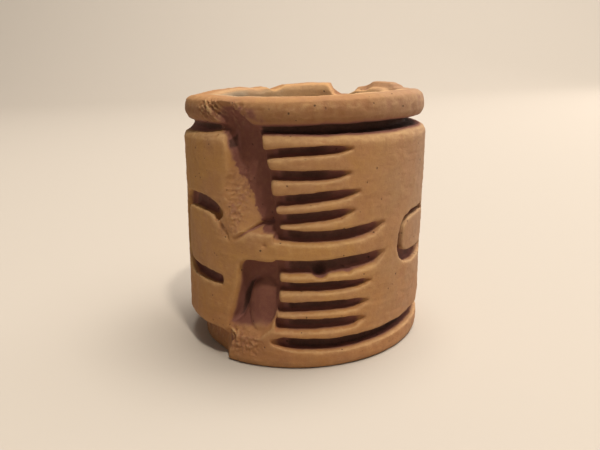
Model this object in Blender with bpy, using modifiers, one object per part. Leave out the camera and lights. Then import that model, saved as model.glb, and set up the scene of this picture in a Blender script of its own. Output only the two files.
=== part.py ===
"""Hollow roller seal of fired clay, carved with three repeats of one motif.

The seal stands upright on its foot and leans a little, because its two ends were cut
oblique to the bore. Lengths are in metres, +Z is up, the best side faces -Y, and the
origin is the middle of the footprint.

Everything is placed on the seal's own axis first. A place there is an angle in
degrees, 0 at the front and growing towards +X, and a height above the foot's centre.
The carving keeps its angles, and its heights are shares of the carved panel.
"""
import math

import bmesh
import bpy

# Body
BODY_RADIUS = 0.0225
WALL = 0.0062
SEAL_HEIGHT = 0.0458
LEAN_DEGREES = 2.5
TURN_STEPS = 60

# Collar round the top, and the groove under it
COLLAR_HEIGHT = 0.0045
COLLAR_INSET = 0.0004
COLLAR_SHIFT = 0.0003
NECK_GAP = 0.0013
NECK_DEPTH = 0.0031
NECK_DRIFT = 0.0010
LIP_WEAR = 0.0009

# Band round the foot, and the groove over it
FOOT_BAND = 0.0034
FOOT_GROOVE_WIDTH = 0.0023
FOOT_GROOVE_DEPTH = 0.0024
FOOT_GROOVE_WANDER = 0.0004

# Carving tools: how wide and how deep each one cut
KNIFE_WIDTH = 0.0019
KNIFE_DEPTH = 0.0021
GOUGE_DEPTH = 0.0029
EYE_LINE_WIDTH = 0.0016
EYE_LINE_DEPTH = 0.0019
DRILL_RADIUS = 0.0012

# Sides of a knife cut's floor, in halves of its width: the blade went in nearly level
# under each ridge and came out over the next one
KNIFE_UPPER = 0.90
KNIFE_LOWER = -0.35

# Damage: the rim's notch and nick, and the stretch where the foot band broke off
NOTCH_DEPTH = 0.0025
NICK_DEPTH = 0.0007
BREAK_DEPTH = 0.0029
BREAK_START = -38.0
BREAK_END = -106.0

# Softened edges
EDGE_ROUND = 0.0008

# Angle from one motif to the next
MOTIF_STEP = 120.5

BORE_RADIUS = BODY_RADIUS - WALL
LEAN = math.radians(LEAN_DEGREES)
PANEL_BOTTOM = FOOT_BAND + FOOT_GROOVE_WIDTH
PANEL_TOP = SEAL_HEIGHT - COLLAR_HEIGHT - NECK_GAP
COLLAR_RADIUS = BODY_RADIUS - COLLAR_INSET
NECK_RADIUS = BODY_RADIUS - NECK_DEPTH
CUTTER_REACH = 0.16 * WALL
SECTION_DEGREES = 6.0

# Each knife cut beside the upper gouge: left and right end in degrees, height of the
# left and the right end and sag of the middle in shares of the panel, width in knives,
# and how late it narrows
UPPER_CUTS = (
    (-18.0, 20.5, 0.902, 0.929, 0.009, 0.88, 8),
    (-16.0, 20.0, 0.807, 0.814, 0.000, 0.95, 8),
    (-15.0, 24.5, 0.679, 0.725, 0.003, 1.08, 7),
    (-13.0, 22.0, 0.593, 0.632, 0.000, 1.12, 12),
    (-13.0, 37.5, 0.524, 0.553, -0.022, 1.28, 14),
)

# The same beside the lower gouge
LOWER_CUTS = (
    (-13.0, 38.5, 0.363, 0.398, -0.014, 1.46, 22),
    (-12.0, 31.5, 0.262, 0.268, 0.000, 1.00, 9),
    (-12.0, 30.0, 0.152, 0.161, 0.005, 1.13, 11),
    (-12.5, 28.5, 0.064, 0.069, 0.001, 1.25, 11),
)

# Gouged hollows, level by level from the top: share of the panel, then the angles of
# the left edge, the floor's left and right side and the right edge, and the depth in
# gouge depths
UPPER_HOLLOW = (
    (1.150, -45.0, -41.0, -37.0, -34.0, 0.14),
    (1.100, -47.0, -38.0, -33.0, -29.5, 0.55),
    (1.045, -43.0, -36.0, -27.0, -22.5, 0.95),
    (0.985, -37.5, -35.5, -20.5, -18.0, 1.04),
    (0.920, -35.0, -33.0, -19.0, -17.0, 1.04),
    (0.832, -34.5, -31.5, -17.5, -14.5, 1.04),
    (0.745, -36.0, -28.5, -16.0, -14.0, 1.00),
    (0.658, -34.5, -24.0, -14.0, -12.5, 1.00),
    (0.600, -32.5, -21.5, -13.0, -11.0, 0.95),
    (0.552, -31.0, -20.5, -12.5, -10.0, 0.80),
    (0.525, -29.5, -21.0, -14.0, -10.0, 0.40),
)
LOWER_HOLLOW = (
    (0.386, -25.5, -24.0, -13.0, -11.0, 0.85),
    (0.352, -29.5, -27.5, -12.5, -10.5, 0.95),
    (0.253, -30.5, -28.0, -12.5, -10.5, 0.97),
    (0.165, -32.5, -29.5, -13.0, -10.5, 0.95),
    (0.093, -35.0, -31.5, -14.5, -12.0, 0.85),
    (0.035, -37.0, -34.0, -17.0, -14.5, 0.48),
    (-0.020, -38.0, -36.0, -20.0, -18.0, 0.10),
)
PLAIN_HOLLOW = (
    (0.925, -31.0, -29.0, -18.0, -16.0, 0.80),
    (0.760, -33.0, -28.5, -15.5, -13.5, 1.00),
    (0.610, -32.0, -25.5, -14.0, -11.5, 0.95),
    (0.540, -30.0, -24.0, -13.5, -11.0, 0.75),
)

# The arc round each eye: middle in degrees and share of the panel, half its length in
# degrees, how far it rises and falls in shares, squareness, width in eye lines, and how
# much wider it is near its start and along its foot
FRONT_EYE = (-56.5, 0.441, 17.5, 0.190, 0.190, 3.6, 1.40, 0.20, 0.0)
SIDE_EYE = (66.0, 0.441, 17.5, 0.134, 0.100, 3.2, 0.60, 0.0, 1.25)
BACK_EYE = (184.5, 0.441, 18.0, 0.150, 0.160, 2.8, 1.00, 0.20, 0.20)

# Lumps of the rim: place in degrees, lift in metres, spread in degrees
RIM_LUMPS = (
    (-48.0, 0.00020, 24.0),
    (-95.0, -0.00030, 20.0),
    (176.0, 0.00020, 12.0),
    (128.0, 0.00025, 18.0),
    (88.0, -0.00050, 24.0),
)


def wall_point(degrees, radius, height):
    """Gives the point at an angle, a distance from the axis and a height."""
    turn = math.radians(degrees)
    return radius * math.sin(turn), -radius * math.cos(turn), height


def foot_level(degrees, radius=BODY_RADIUS):
    """Gives the height of the oblique foot at a place on the seal."""
    return math.tan(LEAN) * radius * math.sin(math.radians(degrees))


def panel_height(share):
    """Turns a share of the carved panel into a height."""
    return PANEL_BOTTOM + share * (PANEL_TOP - PANEL_BOTTOM)


def bump(value, middle, spread):
    """A smooth hill, 1 at the middle and near 0 past twice the spread."""
    return math.exp(-(((value - middle) / spread) ** 2))


def wrapped(degrees):
    """Brings an angle between -180 and 180 degrees."""
    return (degrees + 180.0) % 360.0 - 180.0


def new_collection(name):
    """Adds a collection to the scene."""
    collection = bpy.data.collections.new(name)
    bpy.context.scene.collection.children.link(collection)
    return collection


def add_cutter(name, bm, collection):
    """Makes a cutting tool's object from its mesh."""
    bmesh.ops.recalc_face_normals(bm, faces=bm.faces)
    mesh = bpy.data.meshes.new(name)
    bm.to_mesh(mesh)
    bm.free()
    cutter = bpy.data.objects.new(name, mesh)
    cutter.hide_render = True
    cutter.display_type = "WIRE"
    collection.objects.link(cutter)
    return cutter


def loft(name, rings, collection):
    """Builds a closed cutter through rings of equally many points."""
    bm = bmesh.new()
    rows = [[bm.verts.new(point) for point in ring] for ring in rings]
    count = len(rows[0])
    for row, following in zip(rows, rows[1:]):
        for k in range(count):
            after = (k + 1) % count
            bm.faces.new((row[k], row[after], following[after], following[k]))
    bm.faces.new(rows[0])
    bm.faces.new(rows[-1])
    bmesh.ops.triangulate(bm, faces=bm.faces, quad_method="BEAUTY")
    return add_cutter(name, bm, collection)


def clay():
    """Makes the fired clay's material."""
    material = bpy.data.materials.new("fired_clay")
    material.use_nodes = True
    shader = material.node_tree.nodes["Principled BSDF"]
    shader.inputs["Base Color"].default_value = (0.30, 0.165, 0.08, 1.0)
    shader.inputs["Roughness"].default_value = 0.85
    shader.inputs["Metallic"].default_value = 0.0
    return material


def tube_profile():
    """Gives the wall's outline, down the outside and back up the bore."""
    top = SEAL_HEIGHT
    collar_base = top - COLLAR_HEIGHT
    ease = EDGE_ROUND
    outside = [
        (BORE_RADIUS + 1.3 * ease, top),
        (COLLAR_RADIUS - 1.7 * ease, top),
        (COLLAR_RADIUS - 0.5 * ease, top - 0.7 * ease),
        (COLLAR_RADIUS, top - 0.42 * COLLAR_HEIGHT),
        (COLLAR_RADIUS, top - 0.70 * COLLAR_HEIGHT),
        (COLLAR_RADIUS - 0.7 * ease, top - 0.92 * COLLAR_HEIGHT),
        (COLLAR_RADIUS - 2.0 * ease, collar_base),
        (NECK_RADIUS, collar_base - 0.25 * NECK_GAP),
        (NECK_RADIUS, PANEL_TOP + 0.15 * NECK_GAP),
        (BODY_RADIUS - 1.5 * ease, PANEL_TOP),
        (BODY_RADIUS - 0.45 * ease, PANEL_TOP - 0.5 * ease),
        (BODY_RADIUS, PANEL_TOP - 1.6 * ease),
        (BODY_RADIUS, panel_height(0.66)),
        (BODY_RADIUS, panel_height(0.33)),
        (BODY_RADIUS, PANEL_BOTTOM),
        (BODY_RADIUS, 1.3 * ease),
        (BODY_RADIUS - 0.3 * ease, 0.35 * ease),
        (BODY_RADIUS - 1.0 * ease, 0.0),
    ]
    bore = [
        (BORE_RADIUS + 1.0 * ease, 0.0),
        (BORE_RADIUS + 0.25 * ease, 0.4 * ease),
        (BORE_RADIUS, 1.5 * ease),
        (BORE_RADIUS, PANEL_BOTTOM),
        (BORE_RADIUS, PANEL_TOP),
        (BORE_RADIUS, top - 1.6 * ease),
        (BORE_RADIUS + 0.35 * ease, top - 0.45 * ease),
    ]
    return outside + bore


def turned_tube():
    """Turns the wall's outline into a plain tube."""
    points = tube_profile()
    mesh = bpy.data.meshes.new("wall_outline")
    edges = [(k, (k + 1) % len(points)) for k in range(len(points))]
    mesh.from_pydata([(radius, 0.0, height) for radius, height in points], edges, [])
    outline = bpy.data.objects.new("wall_outline", mesh)
    bpy.context.scene.collection.objects.link(outline)
    screw = outline.modifiers.new("turn", "SCREW")
    screw.angle = math.tau
    screw.steps = TURN_STEPS
    screw.render_steps = TURN_STEPS
    screw.use_merge_vertices = True
    screw.merge_threshold = 0.00001
    bpy.context.view_layer.update()
    graph = bpy.context.evaluated_depsgraph_get()
    turned = bpy.data.meshes.new_from_object(outline.evaluated_get(graph))
    bpy.data.objects.remove(outline)
    return turned


def rim_lift(degrees):
    """Gives how far the rim stands above or below its plane."""
    return sum(lift * bump(wrapped(degrees - place), 0.0, spread) for place, lift, spread in RIM_LUMPS)


def shape_by_hand(mesh):
    """Sets both ends oblique, lets the neck groove wander and moves the collar a little."""
    soft_from = PANEL_TOP - 4.0 * EDGE_ROUND
    for vertex in mesh.vertices:
        x, y, height = vertex.co
        radius = math.hypot(x, y)
        degrees = math.degrees(math.atan2(x, -y))
        slope = math.tan(LEAN) * x
        top_part = min(1.0, max(0.0, (height - soft_from) / (SEAL_HEIGHT - soft_from)))
        foot_part = max(0.0, 1.0 - height / PANEL_BOTTOM)
        in_neck = PANEL_TOP < height < SEAL_HEIGHT - COLLAR_HEIGHT
        on_lip = PANEL_TOP - 2.0 * EDGE_ROUND < height <= PANEL_TOP
        outer = radius > BORE_RADIUS + 0.1 * WALL
        if in_neck and outer:
            radius -= NECK_DRIFT * math.sin(math.radians(degrees))
        if on_lip and outer:
            height -= LIP_WEAR * bump(degrees, -90.0, 40.0)
        x, y, height = wall_point(degrees, radius, height)
        height += (slope + rim_lift(degrees)) * top_part + slope * foot_part
        vertex.co = (x - COLLAR_SHIFT * top_part, y, height)


def eased(levels, parts):
    """Adds levels between the given ones, on smooth curves through them."""
    result = []
    last = len(levels) - 1
    for k in range(last):
        around = [levels[min(max(j, 0), last)] for j in (k - 1, k, k + 1, k + 2)]
        for step in range(parts):
            t = step / parts
            weights = (
                (-t + 2 * t**2 - t**3) / 2,
                (2 - 5 * t**2 + 3 * t**3) / 2,
                (t + 4 * t**2 - 3 * t**3) / 2,
                (t**3 - t**2) / 2,
            )
            result.append(tuple(sum(w * v for w, v in zip(weights, values)) for values in zip(*around)))
    return result + [levels[-1]]


def groove(name, path, collection, upper=0.85, lower=-0.85):
    """Builds the cutter of a line cut with one tool.

    The path is a list of places: degrees, height, width and depth. The cut narrows
    towards its floor, whose upper and lower side are shares of half the width.
    """
    rings = []
    for k, (degrees, height, width, depth) in enumerate(path):
        before = path[max(k - 1, 0)]
        after = path[min(k + 1, len(path) - 1)]
        along = math.radians(after[0] - before[0]) * BODY_RADIUS
        up = after[1] - before[1]
        length = math.hypot(along, up)
        across = (-up / length, along / length)
        half = width / 2
        flare = min(1.0, CUTTER_REACH / depth)
        ring = []
        for radius, offset in (
            (BODY_RADIUS + CUTTER_REACH, half * (1.0 + flare * (1.0 - upper))),
            (BODY_RADIUS - depth, half * upper),
            (BODY_RADIUS - depth, half * lower),
            (BODY_RADIUS + CUTTER_REACH, -half * (1.0 + flare * (1.0 + lower))),
        ):
            turn = degrees + math.degrees(offset * across[0] / BODY_RADIUS)
            ring.append(wall_point(turn, radius, height + offset * across[1]))
        rings.append(ring)
    return loft(name, rings, collection)


def knife_cut(name, cut, turn, collection):
    """One straight cut, undercut above, that runs up to a point at its right end."""
    left, right, start, end, sag, width, narrows = cut
    steps = max(4, round((right - left) / SECTION_DEGREES))
    path = []
    for k in range(steps + 1):
        share = k / steps
        taper = 1.0 - share**narrows
        height = panel_height(start + (end - start) * share + 4.0 * sag * share * (1.0 - share))
        path.append(
            (
                turn + left + (right - left) * share,
                height + 0.25 * KNIFE_WIDTH * width * (1.0 - taper),
                KNIFE_WIDTH * width * (0.25 + 0.75 * taper),
                KNIFE_DEPTH * (0.22 + 0.78 * taper),
            )
        )
    return groove(name, path, collection, KNIFE_UPPER, KNIFE_LOWER)


def hollow(name, levels, turn, collection):
    """Builds the cutter of a gouged hollow from its levels."""
    rings = []
    for share, left, floor_left, floor_right, right, part in eased(levels, 3):
        depth = GOUGE_DEPTH * part
        flare = min(0.6, CUTTER_REACH / depth)
        outer_left = left - flare * (floor_left - left)
        outer_right = right + flare * (right - floor_right)
        outside = BODY_RADIUS + CUTTER_REACH
        corners = (
            (outer_left, outside),
            (floor_left, BODY_RADIUS - depth),
            ((floor_left + floor_right) / 2, BODY_RADIUS - depth),
            (floor_right, BODY_RADIUS - depth),
            (outer_right, outside),
            ((outer_left + outer_right) / 2, outside),
        )
        height = panel_height(share)
        rings.append([wall_point(turn + degrees, radius, height) for degrees, radius in corners])
    return loft(name, rings, collection)


def eye_line(name, eye, collection):
    """Cuts the line round a lens-shaped eye, open to the right."""
    middle, share, reach, rise, fall, squareness, width, start_swell, foot_swell = eye
    first_turn, last_turn, steps = 30.0, 268.0, 20
    path = []
    for k in range(steps + 1):
        turn = math.radians(first_turn + (last_turn - first_turn) * k / steps)
        across = math.copysign(abs(math.cos(turn)) ** (2 / squareness), math.cos(turn))
        up = math.copysign(abs(math.sin(turn)) ** (2 / squareness), math.sin(turn))
        high = panel_height(share + up * (rise if up > 0 else fall))
        swell = 1.0 + start_swell * bump(k / steps, 0.2, 0.2) + foot_swell * bump(k / steps, 1.0, 0.3)
        path.append((middle + reach * across, high, EYE_LINE_WIDTH * width * swell, EYE_LINE_DEPTH))
    low = path[-1][1]
    for part in (0.35, 0.7, 1.0):
        taper = 1.0 - 0.25 * part**3
        tail = middle + reach * part
        path.append((tail, low, EYE_LINE_WIDTH * width * swell * taper, EYE_LINE_DEPTH * taper))
    return groove(name, path, collection)


def foot_groove(collection):
    """Cuts the groove over the foot band, from the front round to the broken stretch."""
    start, end = -14.5, 360.0 + BREAK_END + 4.0
    steps = round((end - start) / SECTION_DEGREES)
    path = []
    for k in range(steps + 1):
        degrees = start + (end - start) * k / steps
        wander = bump(degrees, -12.0, 6.0) - bump(degrees, 17.0, 14.0) - 0.7 * bump(degrees, 38.0, 14.0)
        middle = FOOT_BAND + FOOT_GROOVE_WIDTH / 2 + FOOT_GROOVE_WANDER * wander
        begun = 1.0 - 0.75 * bump(degrees, start, 4.0)
        path.append(
            (
                degrees,
                foot_level(degrees) + middle,
                FOOT_GROOVE_WIDTH * begun,
                FOOT_GROOVE_DEPTH * begun,
            )
        )
    return groove("foot_groove_cut", path, collection)


def broken_band(collection):
    """Takes away the stretch of the foot band that has broken off."""
    below = -math.tan(LEAN) * 2 * BODY_RADIUS
    slant = 5.0
    steps = round((BREAK_START - BREAK_END) / SECTION_DEGREES)
    rings = []
    for k in range(steps + 1):
        share = k / steps
        degrees = BREAK_START + (BREAK_END - BREAK_START) * share
        opened = 1.0 - 0.75 * bump(share, 0.0, 0.07) - 0.75 * bump(share, 1.0, 0.07)
        core = BODY_RADIUS - BREAK_DEPTH * opened
        tilt = slant * bump(share, 0.0, 0.12)
        lip = foot_level(degrees) + PANEL_BOTTOM * (1.02 - 0.12 * share)
        outside = BODY_RADIUS + CUTTER_REACH
        rings.append(
            [
                wall_point(degrees, outside, below),
                wall_point(degrees, core, below),
                wall_point(degrees + 0.7 * tilt, core, lip - 0.25 * PANEL_BOTTOM),
                wall_point(degrees + tilt, BODY_RADIUS - 0.15 * BREAK_DEPTH, lip),
                wall_point(degrees + tilt, outside, lip),
            ]
        )
    return loft("foot_band_break", rings, collection)


def rim_cut(name, middle, floor_half, top_half, depth, collection):
    """Cuts a gap through the rim, wider at its top than on its floor."""
    rim = SEAL_HEIGHT + foot_level(middle) + rim_lift(middle)
    over = 2 * depth
    spread = top_half + (top_half - floor_half) * over / depth
    rings = []
    for radius in (BORE_RADIUS - CUTTER_REACH, BODY_RADIUS + CUTTER_REACH):
        rings.append(
            [
                wall_point(middle - spread, radius, rim + over),
                wall_point(middle - floor_half, radius, rim - depth),
                wall_point(middle + floor_half, radius, rim - depth),
                wall_point(middle + spread, radius, rim + over),
            ]
        )
    return loft(name, rings, collection)


def drill_dent(name, degrees, share, scale, collection):
    """Makes the round dent that a blunt drill left in the edge of a cut."""
    bm = bmesh.new()
    bmesh.ops.create_uvsphere(bm, u_segments=12, v_segments=8, radius=DRILL_RADIUS * scale)
    cutter = add_cutter(name, bm, collection)
    cutter.location = wall_point(degrees, BODY_RADIUS - 0.5 * DRILL_RADIUS, panel_height(share))
    return cutter


def carve_front(collection):
    """Cuts the motif that faces the front, as worn and damaged as it is."""
    cutters = [
        hollow("upper_hollow_cut", UPPER_HOLLOW, 0.0, collection),
        hollow("lower_hollow_cut", LOWER_HOLLOW, 0.0, collection),
        eye_line("front_eye_cut", FRONT_EYE, collection),
        drill_dent("drill_dent_left", 7.2, 0.360, 1.35, collection),
        drill_dent("drill_dent_right", 20.2, 0.371, 1.15, collection),
    ]
    for k, cut in enumerate(UPPER_CUTS):
        cutters.append(knife_cut(f"upper_cut_{k + 1}", cut, 0.0, collection))
    for k, cut in enumerate(LOWER_CUTS):
        cutters.append(knife_cut(f"lower_cut_{k + 1}", cut, 0.0, collection))
    return cutters


def carve_hidden(side, turn, eye, collection):
    """Cuts a plainer copy of the motif on a side turned away from the front."""
    cutters = [
        hollow(f"{side}_upper_hollow_cut", PLAIN_HOLLOW, turn, collection),
        hollow(f"{side}_lower_hollow_cut", LOWER_HOLLOW[:-1], turn, collection),
        eye_line(f"{side}_eye_cut", eye, collection),
    ]
    for k in range(4):
        share = 0.865 - 0.108 * k
        cut = (-15.0 + k, 22.0 + 3.0 * k, share, share + 0.012, 0.0, 1.05, 8)
        cutters.append(knife_cut(f"{side}_upper_cut_{k + 1}", cut, turn, collection))
    for k in range(3):
        share = 0.365 - 0.105 * k
        cut = (-12.0, 33.0 - 3.0 * k, share, share + 0.008, 0.0, 1.1, 8)
        cutters.append(knife_cut(f"{side}_lower_cut_{k + 1}", cut, turn, collection))
    return cutters


def main():
    """Builds the seal."""
    for item in list(bpy.data.objects):
        bpy.data.objects.remove(item)
    parts = new_collection("roller_seal")
    cutting = new_collection("cutters")

    axis = bpy.data.objects.new("seal_axis", None)
    axis.rotation_euler = (0.0, LEAN, 0.0)
    parts.objects.link(axis)

    mesh = turned_tube()
    mesh.name = "seal"
    shape_by_hand(mesh)
    mesh.materials.clear()
    mesh.materials.append(clay())
    mesh.shade_smooth()
    mesh.set_sharp_from_angle(angle=math.radians(35))
    seal = bpy.data.objects.new("seal", mesh)
    seal.parent = axis
    parts.objects.link(seal)

    cutters = carve_front(cutting)
    cutters += carve_hidden("right", MOTIF_STEP, SIDE_EYE, cutting)
    cutters += carve_hidden("left", 2 * MOTIF_STEP, BACK_EYE, cutting)
    cutters.append(foot_groove(cutting))
    cutters.append(broken_band(cutting))
    cutters.append(rim_cut("rim_notch", 155.5, 3.6, 9.5, NOTCH_DEPTH, cutting))
    cutters.append(rim_cut("rim_nick", -157.0, 1.5, 6.0, NICK_DEPTH, cutting))
    for cutter in cutters:
        cutter.parent = axis
        carving = seal.modifiers.new(cutter.name, "BOOLEAN")
        carving.operation = "DIFFERENCE"
        carving.solver = "EXACT"
        carving.object = cutter

    bpy.context.view_layer.update()
    graph = bpy.context.evaluated_depsgraph_get()
    carved = seal.evaluated_get(graph)
    places = [carved.matrix_world @ vertex.co for vertex in carved.data.vertices]
    for side in (0, 1):
        low = min(place[side] for place in places)
        high = max(place[side] for place in places)
        axis.location[side] = -(low + high) / 2
    bpy.context.view_layer.update()


main()
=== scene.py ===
"""Dresses the roller seal: a hand-carved, fired and weathered tube of clay.

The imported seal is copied, cut finer, softened and weathered as one mesh, and gets a
procedural clay finish. Lengths are metres. A place on the seal is an angle in degrees,
0 at the front and growing towards +X, and a height along the seal's own axis.
"""

from __future__ import annotations

import logging
import math
from dataclasses import dataclass, field
from enum import Enum
from typing import Sequence

import bpy
import numpy as np
from mathutils import Matrix, Vector, noise

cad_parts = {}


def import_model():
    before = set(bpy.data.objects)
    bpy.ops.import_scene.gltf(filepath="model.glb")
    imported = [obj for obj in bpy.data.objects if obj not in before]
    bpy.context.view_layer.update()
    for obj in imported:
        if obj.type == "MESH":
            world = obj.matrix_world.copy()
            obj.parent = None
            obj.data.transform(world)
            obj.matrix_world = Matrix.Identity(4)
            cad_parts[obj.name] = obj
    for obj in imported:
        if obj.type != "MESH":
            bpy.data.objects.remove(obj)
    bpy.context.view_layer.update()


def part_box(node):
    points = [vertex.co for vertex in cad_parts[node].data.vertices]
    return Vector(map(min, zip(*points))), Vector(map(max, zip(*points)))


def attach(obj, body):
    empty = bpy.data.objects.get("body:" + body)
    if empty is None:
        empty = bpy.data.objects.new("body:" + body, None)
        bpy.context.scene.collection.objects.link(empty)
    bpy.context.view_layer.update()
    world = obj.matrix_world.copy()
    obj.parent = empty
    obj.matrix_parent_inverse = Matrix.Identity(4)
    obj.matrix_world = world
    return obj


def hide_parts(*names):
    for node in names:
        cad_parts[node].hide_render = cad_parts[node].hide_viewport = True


MM = 0.001
LOG = logging.getLogger("roller_seal")

Rgb = tuple[float, float, float]
Place = tuple[float, float, float]
Setting = float | int | str | bool | Sequence[float]


class Mark(Enum):
    """What the clay's mesh tells its finish, as the names of its attributes."""

    # recess: how deep in the carving a point lies, which the finish paints with earth and painted shade
    RECESS = "recess"
    # cut: painted shade with some dirt in the cuts, neck, cracks and deep pockets
    CUT = "cut"
    # edge: painted highlight on the rounded edges, strongest where they face up
    EDGE = "edge"
    CAVITY = "cavity"
    ROUGH = "rough"
    STREAK = "streak"
    # bore: where the bore's inner wall is painted paler, as light falls on it
    BORE = "bore"
    COLLAR = "collar"


class Shade:
    """A shader socket that takes part in Python expressions."""

    def __init__(self, bench: Bench, socket: bpy.types.NodeSocket) -> None:
        """Keeps the socket and the bench that its nodes are made on."""
        self.bench = bench
        self.socket = socket

    def _maths(self, operation: str, *values: Shade | float) -> Shade:
        """Adds a Math node.

        Args:
            operation: the Math node's operation.
            values: its inputs in order.

        Returns:
            The node's result.
        """
        return self.bench.add("ShaderNodeMath", {"operation": operation}, dict(enumerate(values)))

    def __add__(self, other: Shade | float) -> Shade:
        """Adds two values."""
        return self._maths("ADD", self, other)

    __radd__ = __add__

    def __sub__(self, other: Shade | float) -> Shade:
        """Takes a value from this one."""
        return self._maths("SUBTRACT", self, other)

    def __rsub__(self, other: Shade | float) -> Shade:
        """Takes this value from another."""
        return self._maths("SUBTRACT", other, self)

    def __mul__(self, other: Shade | float) -> Shade:
        """Multiplies two values."""
        return self._maths("MULTIPLY", self, other)

    __rmul__ = __mul__

    def __pow__(self, power: float) -> Shade:
        """Raises the value to a power."""
        return self._maths("POWER", self, power)

    def twin(self, output: str) -> Shade:
        """Gives another output of the node that this shade comes from."""
        return Shade(self.bench, self.socket.node.outputs[output])

    def between(self, low: float, high: float) -> Shade:
        """Gives 0 below low and 1 above high, with a smooth rise between.

        Args:
            low: where the rise starts.
            high: where it ends; it may be below low, which turns the rise round.

        Returns:
            The share from 0 to 1.
        """
        return self.bench.add(
            "ShaderNodeMapRange",
            {"interpolation_type": "SMOOTHSTEP", "clamp": True},
            {"Value": self, "From Min": low, "From Max": high},
        )


class Bench:
    """Makes the nodes of one material."""

    def __init__(self, name: str) -> None:
        """Starts a material that holds only its shader and output."""
        self.material = bpy.data.materials.new(name)
        self.material.use_nodes = True
        self.tree = self.material.node_tree
        self.shader = self.tree.nodes["Principled BSDF"]

    def add(
        self,
        kind: str,
        settings: dict[str, Setting] | None = None,
        inputs: dict[str | int, Shade | Setting] | None = None,
        output: str | int = 0,
    ) -> Shade:
        """Adds a node.

        Args:
            kind: the node's type.
            settings: its properties, which are set first.
            inputs: values or links of its sockets, by name or place.
            output: the socket that is wanted, by name or place.

        Returns:
            The wanted output.
        """
        node = self.tree.nodes.new(kind)
        for name, value in (settings or {}).items():
            setattr(node, name, value)
        for name, value in (inputs or {}).items():
            self.plug(node.inputs[name], value)
        return Shade(self, node.outputs[output])

    def plug(self, socket: bpy.types.NodeSocket, value: Shade | Setting) -> None:
        """Links a shade to a socket, or sets a plain value on it."""
        if isinstance(value, Shade):
            self.tree.links.new(value.socket, socket)
        elif isinstance(value, tuple) and len(value) == 3 and socket.type == "RGBA":
            socket.default_value = (*value, 1.0)
        else:
            socket.default_value = value

    def mix(self, under: Shade | Rgb, over: Shade | Rgb, share: Shade | float) -> Shade:
        """Lays one colour over another.

        Args:
            under: the colour below.
            over: the colour on top.
            share: how much of it shows.

        Returns:
            The mixed colour.
        """
        factor, first, second, result = 0, 6, 7, 2
        return self.add(
            "ShaderNodeMix",
            {"data_type": "RGBA", "blend_type": "MIX", "clamp_factor": True},
            {factor: share, first: under, second: over},
            result,
        )

    def cloud(self, where: Shade, size: float, detail: float = 3.0, warp: float = 0.0) -> Shade:
        """Gives soft noise.

        Args:
            where: the coordinates.
            size: the size of its lumps in metres.
            detail: how many finer layers it has.
            warp: how much it is distorted.

        Returns:
            The noise, about 0.5 on average.
        """
        return self.add(
            "ShaderNodeTexNoise",
            {},
            {
                "Vector": where,
                "Scale": 1.0 / size,
                "Detail": detail,
                "Roughness": 0.6,
                "Distortion": warp,
            },
            "Fac",
        )

    def cells(self, where: Shade, size: float, wanted: str = "Distance") -> Shade:
        """Gives the distance to, or the random colour of, the nearest of scattered points."""
        return self.add("ShaderNodeTexVoronoi", {}, {"Vector": where, "Scale": 1.0 / size}, wanted)

    def mark(self, wanted: Mark) -> Shade:
        """Reads one of the mesh's own attributes."""
        return self.add("ShaderNodeAttribute", {"attribute_name": wanted.value}, {}, "Fac")


@dataclass(frozen=True)
class Axis:
    """Where the seal's own axis stands in the world."""

    foot_x: float = -0.9088 * MM
    lean: float = math.radians(2.5)

    def matrix(self) -> Matrix:
        """Gives the turn and shift from the seal's axis to the world."""
        return Matrix.Translation((self.foot_x, 0.0, 0.0)) @ Matrix.Rotation(self.lean, 4, "Y")

    def place(self, degrees: float, height: float, radius: float) -> Vector:
        """Gives the world point at an angle, a height and a distance from the axis."""
        turn = math.radians(degrees)
        return self.matrix() @ Vector((radius * math.sin(turn), -radius * math.cos(turn), height))

    def read(self, points: np.ndarray) -> tuple[np.ndarray, np.ndarray, np.ndarray]:
        """Turns world points into places on the seal.

        Args:
            points: one world point a row.

        Returns:
            Their angles in degrees, heights and distances from the axis.
        """
        back = np.array(self.matrix().inverted())
        own = points @ back[:3, :3].T + back[:3, 3]
        degrees = np.degrees(np.arctan2(own[:, 0], -own[:, 1]))
        return degrees, own[:, 2], np.hypot(own[:, 0], own[:, 1])

    def slope(self, degrees: np.ndarray, radii: np.ndarray) -> np.ndarray:
        """Gives how far a level plane rises along the leaning axis at some places."""
        return math.tan(self.lean) * radii * np.sin(np.radians(degrees))

    def outward(self, degrees: np.ndarray) -> np.ndarray:
        """Gives the world directions that lead straight away from the axis at some angles."""
        turns = np.radians(degrees)
        own = np.column_stack((np.sin(turns), -np.cos(turns), np.zeros_like(turns)))
        return own @ np.array(self.matrix())[:3, :3].T


def hill(values: np.ndarray, middle: float, spread: float) -> np.ndarray:
    """Gives a smooth hill, 1 at the middle and near 0 past twice the spread."""
    return np.exp(-(((values - middle) / spread) ** 2))


def rise(values: np.ndarray, low: float, high: float) -> np.ndarray:
    """Gives a smooth step from 0 at low to 1 at high."""
    share = np.clip((values - low) / (high - low), 0.0, 1.0)
    return share * share * (3.0 - 2.0 * share)


def count_triangles(body: bpy.types.Object) -> int:
    """Counts the triangles that a mesh's faces come to."""
    return sum(len(face.vertices) - 2 for face in body.data.polygons)


def read_points(body: bpy.types.Object) -> np.ndarray:
    """Gives a mesh's points, one a row."""
    points = np.empty(len(body.data.vertices) * 3, dtype=np.float32)
    body.data.vertices.foreach_get("co", points)
    return points.reshape(-1, 3).astype(float)


def read_normals(body: bpy.types.Object) -> np.ndarray:
    """Gives a mesh's point normals, one a row."""
    normals = np.empty(len(body.data.vertices) * 3, dtype=np.float32)
    body.data.vertex_normals.foreach_get("vector", normals)
    return normals.reshape(-1, 3).astype(float)


def write_points(body: bpy.types.Object, points: np.ndarray) -> None:
    """Moves a mesh's points."""
    body.data.vertices.foreach_set("co", points.astype(np.float32).ravel())
    body.data.update()


def pick(item: bpy.types.Object) -> None:
    """Makes one object the only selected and the active one."""
    bpy.ops.object.select_all(action="DESELECT")
    item.select_set(True)
    bpy.context.view_layer.objects.active = item


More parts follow.
